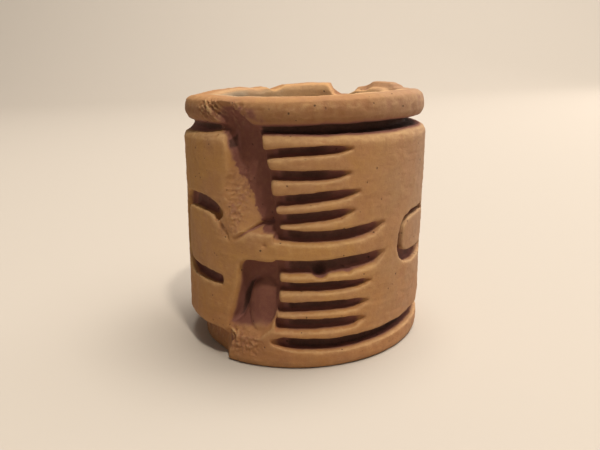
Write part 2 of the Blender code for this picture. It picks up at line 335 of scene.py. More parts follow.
def apply_modifier(body: bpy.types.Object, kind: str, **settings: object) -> None:
    """Adds a modifier and applies it.

    Args:
        body: the object to change.
        kind: the modifier's type.
        settings: its properties.
    """
    modifier = body.modifiers.new(kind.lower(), kind)
    for name, value in settings.items():
        setattr(modifier, name, value)
    pick(body)
    bpy.ops.object.modifier_apply(modifier=modifier.name)


@dataclass(frozen=True)
class Band:
    """A stretch of angles or heights with soft ends.

    Attributes:
        start: where it starts.
        full: where it becomes whole.
        fading: where it stops being whole.
        end: where it ends.
    """

    start: float
    full: float
    fading: float
    end: float

    def mask(self, values: np.ndarray) -> np.ndarray:
        """Gives 1 within the band and 0 outside it."""
        return rise(values, self.start, self.full) * (1.0 - rise(values, self.fading, self.end))


@dataclass(frozen=True)
class Stroke:
    """A soft line pressed or cracked into the clay.

    Attributes:
        path: its places, each an angle, a height, a depth and a half width in mm.
        floor: whether it lies on a hollow's floor and leaves the wall's face alone.
        darkening: how dark it is painted, as the shade that falls in the line.
    """

    path: tuple[tuple[float, float, float, float], ...]
    floor: bool = False
    darkening: float = 0.8

    def depth(self, degrees: np.ndarray, heights: np.ndarray, radius: float) -> np.ndarray:
        """Gives how deep the stroke is at each place.

        Args:
            degrees: the angles of the places.
            heights: their heights.
            radius: the wall's radius, which turns angles into lengths.

        Returns:
            The depths in metres.
        """
        along = np.radians(degrees) * radius / MM
        up = heights / MM
        deepest = np.zeros(len(along))
        for first, second in zip(self.path, self.path[1:]):
            start = np.array((math.radians(first[0]) * radius / MM, first[1]))
            reach = np.array((math.radians(second[0]) * radius / MM, second[1])) - start
            share = ((along - start[0]) * reach[0] + (up - start[1]) * reach[1]) / (reach @ reach)
            share = np.clip(share, 0.0, 1.0)
            away = np.hypot(along - start[0] - share * reach[0], up - start[1] - share * reach[1])
            deep = first[2] + share * (second[2] - first[2])
            width = first[3] + share * (second[3] - first[3])
            here = deep * np.exp(-((away / width) ** 2))
            deepest = np.where(np.abs(here) > np.abs(deepest), here, deepest)
        return deepest * MM


@dataclass(frozen=True)
class Patch:
    """A soft-edged oval place on the wall.

    Attributes:
        degrees: the middle's angle.
        height: the middle's height in mm.
        reach: half its width in degrees.
        tall: half its height in mm.
        power: how much of an effect it has, or how far it stands out in mm.
    """

    degrees: float
    height: float
    reach: float
    tall: float
    power: float

    def away(self, degrees: np.ndarray, heights: np.ndarray) -> np.ndarray:
        """Gives how far each place is from the middle, 1 at the patch's edge."""
        across = (degrees - self.degrees) / self.reach
        return np.hypot(across, (heights / MM - self.height) / self.tall)

    def mask(self, degrees: np.ndarray, heights: np.ndarray) -> np.ndarray:
        """Gives how much each place takes of the patch's effect."""
        return self.power * (1.0 - rise(self.away(degrees, heights), 0.35, 1.20))

    def swell(self, degrees: np.ndarray, heights: np.ndarray) -> np.ndarray:
        """Gives a smooth hill that fades well past the patch's edge."""
        across = hill(degrees, self.degrees, self.reach)
        return self.power * across * hill(heights / MM, self.height, self.tall)

    def lift(self, degrees: np.ndarray, heights: np.ndarray) -> np.ndarray:
        """Gives how far each place is lifted into a rounded rise, in metres."""
        return self.power * MM * np.clip(1.0 - self.away(degrees, heights) ** 2, 0.0, 1.0) ** 0.6


@dataclass(frozen=True)
class Roughness(Patch):
    """A patch that broke or wore rough, as deep in mm as its power.

    Attributes:
        slant: the direction of its fibres in degrees from level.
        torn: how much of it is fibres and not crumbs.
    """

    slant: float
    torn: float

    def fibres(
        self, degrees: np.ndarray, heights: np.ndarray, radius: float
    ) -> tuple[np.ndarray, np.ndarray]:
        """Gives the torn fibres' and the crumbs' unevenness at each place.

        Args:
            degrees: the angles of the places.
            heights: their heights.
            radius: the wall's radius, which turns angles into lengths.

        Returns:
            The fibres' and the crumbs' height, the crumbs' between about -1 and 1.
        """
        turn = math.radians(self.slant)
        along = np.radians(degrees) * radius / MM
        up = heights / MM
        fibre = along * math.cos(turn) + up * math.sin(turn)
        across = up * math.cos(turn) - along * math.sin(turn)
        streaks = [noise.noise(Vector((a * 0.35, b * 2.4, 3.0))) for a, b in zip(fibre, across)]
        grains = 1.5 * np.column_stack((along, up))
        crumbs = [noise.fractal(Vector((a, b, 9.0)), 0.5, 2.2, 3) for a, b in grains]
        return self.torn * np.array(streaks), np.array(crumbs)


@dataclass(frozen=True)
class Pit:
    """A rounded hole that a lost pebble or a blunt drill left, or a scoop worn into the rim.

    Attributes:
        degrees: its angle.
        height: its height in mm.
        width: its half width in mm.
        tall: its half height in mm.
        deep: its depth in mm.
        turn: how far it turns from straight inwards, in degrees.
    """

    degrees: float
    height: float
    width: float
    tall: float
    deep: float
    turn: float = 0.0


@dataclass(frozen=True)
class Site:
    """Where each point of the clay lies on the seal.

    Attributes:
        degrees: its angle.
        heights: its height along the seal's axis.
        radii: its distance from the axis.
        levels: its height above the foot, measured level with the rim.
        sunk: how far it lies below the wall's face, 1 at the darkened depth, where earth and painted shade
            are full.
        below_rim: 0 on the rim's top and 1 below it.
        off_bore: 0 in the bore and 1 outside it.
        ragged: coarse noise about 0.
        crumbly: fine noise about 0.
    """

    degrees: np.ndarray
    heights: np.ndarray
    radii: np.ndarray
    levels: np.ndarray
    sunk: np.ndarray
    below_rim: np.ndarray
    off_bore: np.ndarray
    ragged: np.ndarray
    crumbly: np.ndarray


@dataclass
class SealBody:
    """The seal's clay, as one finely worked mesh. Bands are in degrees or mm, as their names say."""

    axis: Axis = field(default_factory=Axis)
    body_radius: float = 22.5 * MM
    bore_radius: float = 16.3 * MM
    seal_height: float = 45.8 * MM
    motif_step: float = 120.5
    darkened_depth: float = 1.5 * MM
    worn_skin: float = 0.35 * MM
    wipe_depth: float = 0.06 * MM
    foot_band: float = 5.4 * MM

    # The mesh's fineness
    voxel: float = 0.20 * MM
    most_triangles: int = 190000
    tool_fineness: int = 3

    # Where the carving's parts are
    eye_turns: tuple[float, float] = (40.0, 46.0)
    finger_turns: tuple[float, float] = (-13.0, 5.0)
    broken_turns: Band = Band(-108.0, -104.0, -40.0, -36.0)
    chip_turns: Band = Band(-44.0, -40.0, -24.0, -19.0)
    hollow_turns: Band = Band(-50.0, -46.0, -12.0, -9.0)
    panel_heights: Band = Band(3.0, 6.5, 39.0, 42.0)
    finger_heights: Band = Band(6.5, 8.0, 40.0, 41.0)
    bar_heights: Band = Band(19.0, 20.0, 24.5, 25.5)
    neck_heights: Band = Band(39.6, 40.2, 41.6, 42.4)

    # The rim's worn inner edge, its low stretch and its step
    rim_worn: Band = Band(95.0, 112.0, 138.0, 150.0)
    rim_dip: Band = Band(84.0, 100.0, 112.5, 114.0)
    rim_ledge: Band = Band(112.5, 114.0, 140.0, 146.0)

    # The grains' sizes and depths in mm, and how much of each the bore takes
    grains: tuple[tuple[float, float, float], ...] = (
        (9.0, 0.30, 1.0),
        (2.6, 0.21, 1.0),
        (0.9, 0.10, 0.4),
    )

    # Where the upper hollow's slope and the collar's chip are worn soft
    worn_slope: Patch = Patch(-33.0, 30.0, 7.0, 8.0, 1.0)
    worn_chip: Patch = Patch(-23.0, 43.0, 8.0, 2.6, 1.0)

    # The long crack beside the bar, and the crease and the swelling of the lower hollow
    bar_tail: Stroke = Stroke(
        (
            (-31.5, 22.2, 0.25, 0.26),
            (-28.5, 22.9, 0.60, 0.30),
            (-25.5, 23.7, 0.80, 0.34),
            (-20.5, 24.8, 1.05, 0.40),
            (-15.5, 25.6, 1.05, 0.45),
        ),
        darkening=0.85,
    )
    hollow_crease: Stroke = Stroke(
        (
            (-20.3, 15.4, 0.30, 0.50),
            (-24.1, 15.0, 0.60, 0.55),
            (-27.8, 13.8, 0.95, 0.60),
            (-29.6, 12.0, 1.10, 0.62),
            (-31.0, 10.0, 1.05, 0.60),
            (-32.6, 8.0, 0.90, 0.52),
            (-36.0, 6.5, 0.50, 0.40),
        ),
        floor=True,
        darkening=1.25,
    )
    cracks: tuple[Stroke, ...] = (
        Stroke(((-40.6, 24.9, 0.40, 0.26), (-39.4, 24.2, 0.55, 0.30), (-38.6, 23.7, 0.20, 0.20))),
        Stroke(((-36.4, 23.3, 0.25, 0.20), (-35.6, 22.4, 0.35, 0.24), (-34.1, 21.6, 0.08, 0.18))),
        Stroke(((-39.0, 39.6, 0.10, 0.22), (-41.0, 39.1, 0.22, 0.25), (-44.0, 38.9, 0.08, 0.20))),
    )
    swelling: Patch = Patch(-19.5, 10.9, 9.2, 4.9, 0.95)

    # Small holes and the rim's scoops, and the stretches that are worn rough
    pits: tuple[Pit, ...] = (
        Pit(-17.0, 21.8, 0.55, 0.28, 0.7),
        Pit(-39.2, 24.1, 0.4, 0.25, 0.5),
        Pit(-36.3, 22.9, 0.3, 0.25, 0.45),
        Pit(-41.8, 17.2, 0.35, 0.2, 0.4),
        Pit(-66.5, 33.9, 0.4, 0.2, 0.4),
        Pit(17.5, 12.8, 0.35, 0.25, 0.4),
        Pit(8.0, 39.1, 0.35, 0.2, 0.35),
        Pit(7.2, 17.9, 1.65, 1.55, 3.0),
        Pit(20.2, 18.2, 1.3, 1.25, 1.8),
        Pit(-8.0, 44.6, 0.4, 0.25, 0.35),
        Pit(4.0, 42.9, 0.35, 0.2, 0.3),
        Pit(11.0, 44.3, 0.25, 0.25, 0.3),
        Pit(26.0, 43.4, 0.45, 0.2, 0.3),
        Pit(41.0, 44.4, 0.3, 0.25, 0.3),
        Pit(-22.0, 1.9, 0.35, 0.25, 0.35),
        Pit(15.0, 1.6, 0.3, 0.2, 0.3),
        Pit(33.0, 29.0, 0.3, 0.2, 0.25),
        Pit(-49.0, 12.5, 0.3, 0.25, 0.3),
        Pit(-60.5, 10.9, 0.35, 0.2, 0.3),
        Pit(157.3, 46.7, 3.1, 3.0, 16.0, 18.2),
        Pit(148.5, 47.9, 3.3, 2.5, 16.0, 27.0),
    )
    rough: tuple[Roughness, ...] = (
        Roughness(-46.5, 43.3, 8.5, 2.2, 0.42, -38.0, 1.3),
        Roughness(-32.0, 43.0, 8.5, 2.6, 0.30, -60.0, 0.5),
        Roughness(-31.5, 28.5, 6.5, 7.0, 0.42, 70.0, 0.25),
        Roughness(-38.0, 23.4, 3.5, 1.2, 0.30, -30.0, 0.3),
        Roughness(-28.0, 3.8, 12.0, 3.2, 0.36, 20.0, 0.3),
        Roughness(-34.5, 4.6, 3.0, 1.5, 0.25, -35.0, 1.1),
        Roughness(-62.0, 2.6, 22.0, 2.6, 0.28, 80.0, 0.5),
    )

    # Where no earth has stayed, the pockets and the spots on the face painted dark as shade, and the smudges
    bare: tuple[Patch, ...] = (
        Patch(-24.0, 4.0, 12.0, 3.0, 0.92),
        Patch(-47.0, 44.2, 8.0, 2.0, 0.9),
        Patch(155.5, 44.5, 22.0, 5.0, 1.0),
        Patch(-157.0, 45.5, 16.0, 3.0, 1.0),
        Patch(114.0, 45.3, 14.0, 2.8, 1.0),
    )
    shade_and_dirt: tuple[Patch, ...] = (
        Patch(-34.2, 38.5, 2.3, 2.1, 1.20),
        Patch(-33.0, 36.2, 2.2, 2.2, 0.6),
        Patch(-29.0, 40.6, 8.0, 0.9, 0.5),
        Patch(7.2, 17.6, 4.4, 1.7, 1.1),
        Patch(20.2, 18.0, 3.4, 1.3, 0.9),
        Patch(-21.0, 29.5, 1.8, 4.0, 0.3),
    )
    # Spots painted dark as shade where the front eye's arcs run out at the left
    painted_shade_spots: tuple[Patch, ...] = (
        Patch(-76.5, 27.0, 4.0, 1.6, 0.8),
        Patch(-76.5, 14.8, 4.0, 1.2, 0.7),
    )
    smudged: tuple[Patch, ...] = (
        Patch(-29.0, 42.4, 13.0, 3.2, 0.75),
        Patch(-21.0, 41.8, 9.0, 2.0, 0.55),
        Patch(-41.0, 42.2, 6.0, 1.0, 0.50),
        Patch(-52.0, 43.2, 16.0, 3.0, 0.42),
        Patch(-30.5, 27.5, 6.5, 6.0, 0.46),
        Patch(-29.0, 34.0, 5.0, 5.0, 0.40),
    )

    # The upper hollow's left and the hollows' right edge of earth and painted shade, as heights and angles
    earth_and_shade_edge: tuple[tuple[float, float], ...] = (
        (24.0, -19.0),
        (26.9, -21.5),
        (28.1, -23.5),
        (30.0, -27.0),
        (32.1, -30.3),
        (34.5, -34.0),
        (37.4, -36.8),
        (39.8, -41.0),
        (46.0, -50.0),
    )
    finger_edge: tuple[tuple[float, float], ...] = (
        (6.0, -9.5),
        (20.0, -9.5),
        (24.0, -10.0),
        (30.0, -11.5),
        (36.0, -14.5),
        (40.0, -16.0),
    )

    def build(self) -> bpy.types.Object:
        """Builds the finished clay.

        Returns:
            The mesh object, in place, with its point attributes.
        """
        body = self.copy_node()
        for pit in self.pits:
            self.cut(body, self.pit_tool(pit))
        self.remesh(body)
        self.soften(body)
        self.press(body)
        self.weather(body)
        self.thin(body)
        self.keep_inside(body)
        self.mark_surface(body)
        pick(body)
        bpy.ops.object.shade_smooth()
        return body

    def copy_node(self) -> bpy.types.Object:
        """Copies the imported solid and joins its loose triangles."""
        node = bpy.data.objects["seal"]
        body = bpy.data.objects.new("seal_clay", node.data.copy())
        bpy.context.scene.collection.objects.link(body)
        body.data.materials.clear()
        pick(body)
        bpy.ops.object.mode_set(mode="EDIT")
        bpy.ops.mesh.select_all(action="SELECT")
        bpy.ops.mesh.remove_doubles(threshold=0.001 * MM)
        bpy.ops.mesh.delete_loose()
        bpy.ops.object.mode_set(mode="OBJECT")
        return body

    def pit_tool(self, pit: Pit) -> bpy.types.Object:
        """Makes the pebble that a pit is the print of."""
        place = self.axis.place(pit.degrees, pit.height * MM, self.body_radius)
        bpy.ops.object.select_all(action="DESELECT")
        bpy.ops.mesh.primitive_ico_sphere_add(subdivisions=self.tool_fineness, radius=MM, location=place)
        tool = bpy.context.object
        tool.scale = (pit.width, pit.deep, pit.tall)
        tool.rotation_euler = (0.0, 0.0, math.radians(pit.degrees + pit.turn))
        bpy.ops.object.transform_apply(location=False, rotation=True, scale=True)
        return tool

    def cut(self, body: bpy.types.Object, tool: bpy.types.Object) -> None:
        """Takes a tool's shape out of the clay and puts the tool away."""
        apply_modifier(body, "BOOLEAN", operation="DIFFERENCE", solver="EXACT", object=tool)
        bpy.data.objects.remove(tool)

    def remesh(self, body: bpy.types.Object) -> None:
        """Gives the clay an even, fine skin."""
        apply_modifier(body, "REMESH", mode="VOXEL", voxel_size=self.voxel, adaptivity=0.0)

    def blend(self, body: bpy.types.Object, share: np.ndarray, kind: str, **settings: object) -> None:
        """Applies a modifier more in some places than in others.

        Args:
            body: the clay.
            share: how much of the change each point takes.
            kind: the modifier's type.
            settings: its properties.
        """
        before = read_points(body)
        apply_modifier(body, kind, **settings)
        after = read_points(body)
        write_points(body, before + share[:, None] * (after - before))

    def grain(self, body: bpy.types.Object, size: float, depth: float, share: np.ndarray) -> None:
        """Makes the surface uneven.

        Args:
            body: the clay.
            size: the size of its lumps.
            depth: how far it moves the surface.
            share: how much of it each point takes.
        """
        texture = bpy.data.textures.new("hand_marks", "CLOUDS")
        texture.noise_scale = size
        self.blend(
            body,
            share,
            "DISPLACE",
            texture=texture,
            texture_coords="GLOBAL",
            strength=depth,
            mid_level=0.62,
        )

    def wear(self, body: bpy.types.Object, rounds: int, share: np.ndarray | float, fill: float) -> None:
        """Rounds edges that stand out, and fills inner corners less.

        Args:
            body: the clay.
            rounds: how far the rounding reaches.
            share: how much of it each point takes.
            fill: how much of that the inner corners take.
        """
        before = read_points(body)
        outward = read_normals(body)
        apply_modifier(body, "SMOOTH", factor=0.5, iterations=rounds)
        moved = read_points(body) - before
        filling = np.einsum("ij,ij->i", moved, outward) > 0.0
        kept = share * np.where(filling, fill, 1.0)
        write_points(body, before + kept[:, None] * moved)

    def motif_turns(self, degrees: np.ndarray) -> np.ndarray:
        """Gives each place's angle within its own repeat of the motif."""
        return (degrees + 0.5 * self.motif_step) % self.motif_step - 0.5 * self.motif_step

    def soften(self, body: bpy.types.Object) -> None:
        """Rounds the edges, most at the left ends of the ridges, which end like fingers."""
        degrees, heights, radii = self.axis.read(read_points(body))
        turns = self.motif_turns(degrees)
        outside = rise(radii, self.bore_radius + 1.5 * MM, self.bore_radius + 3.0 * MM)
        eye = rise(np.abs(turns), *self.eye_turns)
        carved = outside * self.panel_heights.mask(heights / MM) * (1.0 - 0.6 * eye)
        fingers = hill(turns, *self.finger_turns) * outside * self.finger_heights.mask(heights / MM)
        fingers *= 1.0 - self.bar_heights.mask(heights / MM)
        apply_modifier(body, "SMOOTH", factor=0.5, iterations=6)
        self.wear(body, 12, np.clip(0.35 + 0.65 * carved, 0.0, 1.0), 0.10)
        self.wear(body, 40, np.clip(1.3 * fingers, 0.0, 1.0), 0.15)
        self.wear(body, 60, self.worn_slope.swell(degrees, heights), 0.5)
        self.wear(body, 60, self.worn_chip.swell(degrees, heights) * outside, 0.6)

    def press(self, body: bpy.types.Object) -> None:
        """Presses the soft lines into the clay and raises the swelling of the lower hollow."""
        points = read_points(body)
        degrees, heights, radii = self.axis.read(points)
        outer = rise(radii, self.bore_radius + 1.0 * MM, self.bore_radius + 1.8 * MM)
        sunk = 1.0 - rise(radii, self.body_radius - 1.6 * MM, self.body_radius - 0.7 * MM)
        depth = np.zeros(len(points))
        for stroke in self.strokes():
            pressed = stroke.depth(degrees, heights, self.body_radius)
            depth += pressed * (sunk if stroke.floor else 1.0)
        depth -= self.swelling.lift(degrees, heights) * sunk
        points -= self.axis.outward(degrees) * (depth * outer)[:, None]
        write_points(body, points)
        self.wear(body, 3, 0.8, 0.8)

    def strokes(self) -> tuple[Stroke, ...]:
        """Gives all the soft lines."""
        return (self.bar_tail, self.hollow_crease, *self.cracks)

    def weather(self, body: bpy.types.Object) -> None:
        """Adds the unevenness of hand work, the rim's chips and the rough breaks."""
        points = read_points(body)
        radii = self.axis.read(points)[2]
        off_foot = rise(points[:, 2], 0.05 * MM, 0.8 * MM)
        outside = rise(radii, self.bore_radius + 0.5 * MM, self.bore_radius + 2.5 * MM)
        for size, depth, inside in self.grains:
            self.grain(body, size * MM, depth * MM, off_foot * (inside + (1.0 - inside) * outside))
        self.wipe(body)
        self.shape_rim(body)
        for stretch in self.rough:
            self.roughen(body, stretch)

    def wipe(self, body: bpy.types.Object) -> None:
        """Drags faint level streaks over the wall, as a damp hand leaves them."""
        points = read_points(body)
        degrees, heights, radii = self.axis.read(points)
        share = rise(radii, self.body_radius - 1.2 * MM, self.body_radius - 0.5 * MM)
        share *= rise(points[:, 2], 0.05 * MM, 0.8 * MM)
        depths = np.zeros(len(points))
        for k in np.flatnonzero(share > 0.0):
            along = math.radians(degrees[k]) * self.body_radius / MM
            up = heights[k] / MM + 0.05 * along
            depths[k] = noise.noise(Vector((along * 0.16, up * 1.9, 5.0)))
            depths[k] += 0.7 * noise.noise(Vector((along * 0.5, up * 3.6, 8.0)))
        depths = share * np.clip(depths, 0.0, 1.0) * self.wipe_depth
        write_points(body, points - self.axis.outward(degrees) * depths[:, None])

    def shape_rim(self, body: bpy.types.Object) -> None:
        """Gives the rim its raised stretch with a step, and its worn inner edge."""
        points = read_points(body)
        degrees, heights, radii = self.axis.read(points)
        top = self.seal_height
        near_top = rise(heights - self.axis.slope(degrees, radii), top - 2.2 * MM, top - 0.4 * MM)
        inner = 1.0 - rise(radii, self.bore_radius + 1.4 * MM, self.bore_radius + 2.6 * MM)
        drop = 0.9 * MM * self.rim_worn.mask(degrees) * inner
        drop += 0.35 * MM * self.rim_dip.mask(degrees) - 0.05 * MM * self.rim_ledge.mask(degrees)
        turns = np.radians(degrees)
        lumps = 0.25 * MM * (np.sin(turns * 7.0 + 1.0) + 0.5 * np.sin(turns * 17.0))
        far = rise(np.abs(degrees), 95.0, 125.0)
        points[:, 2] -= near_top * (drop + far * np.clip(lumps, 0.0, None))
        write_points(body, points)

    def roughen(self, body: bpy.types.Object, stretch: Roughness) -> None:
        """Wears one stretch rough, with fibres along its slant."""
        points = read_points(body)
        degrees, heights, radii = self.axis.read(points)
        depth = stretch.mask(degrees, heights)
        depth *= rise(radii, self.bore_radius + 1.5 * MM, self.bore_radius + 2.5 * MM)
        depth *= rise(points[:, 2], 0.05 * MM, 0.6 * MM)
        chosen = np.flatnonzero(depth > 0.0)
        streaks, crumbs = stretch.fibres(degrees[chosen], heights[chosen], self.body_radius)
        depth[chosen] *= np.clip(0.5 + 0.9 * streaks + 0.6 * crumbs, 0.0, 1.4)
        write_points(body, points - read_normals(body) * (depth * MM)[:, None])

    def thin(self, body: bpy.types.Object) -> None:
        """Thins the skin where it is smooth, to stay within the most triangles."""
        before = count_triangles(body)
        ratio = min(1.0, self.most_triangles / before)
        apply_modifier(body, "DECIMATE", decimate_type="COLLAPSE", ratio=ratio)
        LOG.info("clay thinned from %d triangles to %d", before, count_triangles(body))

    def keep_inside(self, body: bpy.types.Object) -> None:
        """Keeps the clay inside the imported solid's box."""
        low, high = (np.array(corner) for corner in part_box("seal"))
        write_points(body, np.clip(read_points(body), low, high))

    def mark_surface(self, body: bpy.types.Object) -> None:
        """Writes the point attributes that the finish reads."""
        points = read_points(body)
        upward = read_normals(body)[:, 2]
        site = self.survey(points)
        broad = self.measure_dents(body)
        recess = self.find_recess(site) * rise(points[:, 2], 0.3 * MM, 1.2 * MM)
        rough, streak = self.find_tears(site)
        # Painted highlight: convex edges are painted paler, most where they face up.
        painted_highlight = rise(-broad, 0.035 * MM, 0.12 * MM) * (0.3 + 0.7 * rise(upward, 0.0, 0.5))
        on_collar = rise(site.levels, 40.8 * MM, 41.6 * MM) * site.off_bore
        # Painted light: the bore's inner wall is painted paler, less on the rim's upward faces at the sides.
        in_bore = 1.0 - rise(site.radii, self.bore_radius + 0.8 * MM, self.bore_radius + 3.0 * MM)
        in_bore *= 1.0 - 0.7 * rise(upward, 0.15, 0.75) * rise(np.abs(site.degrees), 70.0, 100.0)
        marks = {
            Mark.RECESS: self.spread_earth_and_shade(site, recess),
            Mark.CUT: self.find_cut_shade(site, recess),
            Mark.EDGE: painted_highlight * (0.2 + 0.8 * site.below_rim * site.off_bore),
            Mark.CAVITY: np.clip(broad / (0.25 * MM), 0.0, 1.0),
            Mark.ROUGH: rough,
            Mark.STREAK: streak,
            Mark.BORE: in_bore,
            Mark.COLLAR: on_collar * (0.5 + 0.5 * site.below_rim),
        }
        for mark, values in marks.items():
            attribute = body.data.attributes.new(mark.value, "FLOAT", "POINT")
            attribute.data.foreach_set("value", values.astype(np.float32))

    def measure_dents(self, body: bpy.types.Object) -> np.ndarray:
        """Gives how far each point lies below its surroundings, and less than 0 where it stands out."""
        smoothed = bpy.data.objects.new("smoothed", body.data.copy())
        bpy.context.scene.collection.objects.link(smoothed)
        apply_modifier(smoothed, "SMOOTH", factor=0.5, iterations=35)
        moved = read_points(smoothed) - read_points(body)
        bpy.data.objects.remove(smoothed)
        return np.einsum("ij,ij->i", moved, read_normals(body))

    def survey(self, points: np.ndarray) -> Site:
        """Finds where each point lies on the seal.

        Args:
            points: the points, one a row.

        Returns:
            Their places.
        """
        degrees, heights, radii = self.axis.read(points)
        levels = heights - self.axis.slope(degrees, radii)
        places = list(zip(degrees, heights / MM))
        return Site(
            degrees=degrees,
            heights=heights,
            radii=radii,
            levels=levels,
            sunk=np.clip((self.body_radius - self.worn_skin - radii) / self.darkened_depth, 0.0, 1.3),
            below_rim=1.0 - rise(levels, self.seal_height - 1.6 * MM, self.seal_height - 0.6 * MM),
            off_bore=rise(radii, self.bore_radius + 1.2 * MM, self.bore_radius + 2.2 * MM),
            ragged=np.array([noise.noise(Vector((d * 0.3, h * 0.45, 1.0))) for d, h in places]),
            crumbly=np.array([noise.noise(Vector((d * 1.3, h * 1.7, 2.0))) for d, h in places]),
        )

    def find_recess(self, site: Site) -> np.ndarray:
        """Gives how deep in the carving each point lies, 0 where the clay is bare."""
        broken = self.broken_turns.mask(site.degrees)
        broken *= 1.0 - rise(site.heights, self.foot_band, self.foot_band + 1.2 * MM)
        recess = site.sunk * site.below_rim * site.off_bore * (1.0 - 0.95 * broken)
        for patch in self.bare:
            recess *= 1.0 - patch.mask(site.degrees, site.heights)
        return recess

    def spread_earth_and_shade(self, site: Site, recess: np.ndarray) -> np.ndarray:
        """Gives where earth and painted shade lie: the recesses but for the bare slope, and the smudges.

        Args:
            site: the points' places.
            recess: how deep in the carving they lie.

        Returns:
            How much earth and painted shade each point has.
        """
        shore = np.interp(site.heights / MM, *zip(*self.earth_and_shade_edge)) + 2.2 * site.ragged + 1.8 * site.crumbly
        slope = rise(site.heights, 22.0 * MM, 24.0 * MM) * self.hollow_turns.mask(site.degrees)
        earth_and_shade = recess * (1.0 - slope * (1.0 - rise(site.degrees - shore, -1.8, 2.2)))
        uneven = (0.75 + 0.8 * site.ragged + 0.5 * site.crumbly) * site.below_rim * site.off_bore
        for patch in self.smudged:
            earth_and_shade = np.maximum(earth_and_shade, patch.mask(site.degrees, site.heights) * uneven)
        return earth_and_shade

    def find_cut_shade(self, site: Site, recess: np.ndarray) -> np.ndarray:
        """Gives where the clay is painted darkest, as shade with some dirt: cuts, neck, cracks and deep
        pockets, but not the hollows.

        Args:
            site: the points' places.
            recess: how deep in the carving they lie.

        Returns:
            How dark each point is painted.
        """
        turns = self.motif_turns(site.degrees)
        fingers = np.interp(site.heights / MM, *zip(*self.finger_edge))
        hollow = rise(turns, -47.0, -43.0) * (1.0 - rise(turns - fingers, -2.0, 3.5))
        neck = self.neck_heights.mask(site.heights / MM) * (1.0 - self.chip_turns.mask(site.degrees))
        cut = recess * np.maximum(1.0 - hollow, neck)
        pocket = (0.9 + 0.8 * site.ragged) * np.clip(site.sunk * 2.0, 0.0, 1.0)
        for patch in self.shade_and_dirt:
            cut = np.maximum(cut, patch.mask(site.degrees, site.heights) * pocket)
        for stroke in self.strokes():
            pressed = stroke.depth(site.degrees, site.heights, self.body_radius) / (0.9 * MM)
            cut = np.maximum(cut, stroke.darkening * np.clip(pressed, 0.0, 1.0) * site.off_bore)
        for patch in self.painted_shade_spots:
            cut = np.maximum(cut, patch.mask(site.degrees, site.heights) * site.off_bore)
        return cut

    def find_tears(self, site: Site) -> tuple[np.ndarray, np.ndarray]:
        """Gives how rough each point is, and how much it lies on a pale torn fibre."""
        rough = np.zeros(len(site.degrees))
        streak = np.zeros(len(site.degrees))
        for stretch in self.rough:
            here = stretch.mask(site.degrees, site.heights) / stretch.power
            here = np.clip(here, 0.0, 1.0) * site.off_bore
            rough = np.maximum(rough, here)
            chosen = np.flatnonzero(here > 0.0)
            places = site.degrees[chosen], site.heights[chosen]
            streaks, crumbs = stretch.fibres(*places, self.body_radius)
            pale = here[chosen] * rise(-streaks - 0.3 * crumbs, 0.0, 0.5) * min(1.0, stretch.torn)
            streak[chosen] = np.maximum(streak[chosen], pale)
        return rough, streak


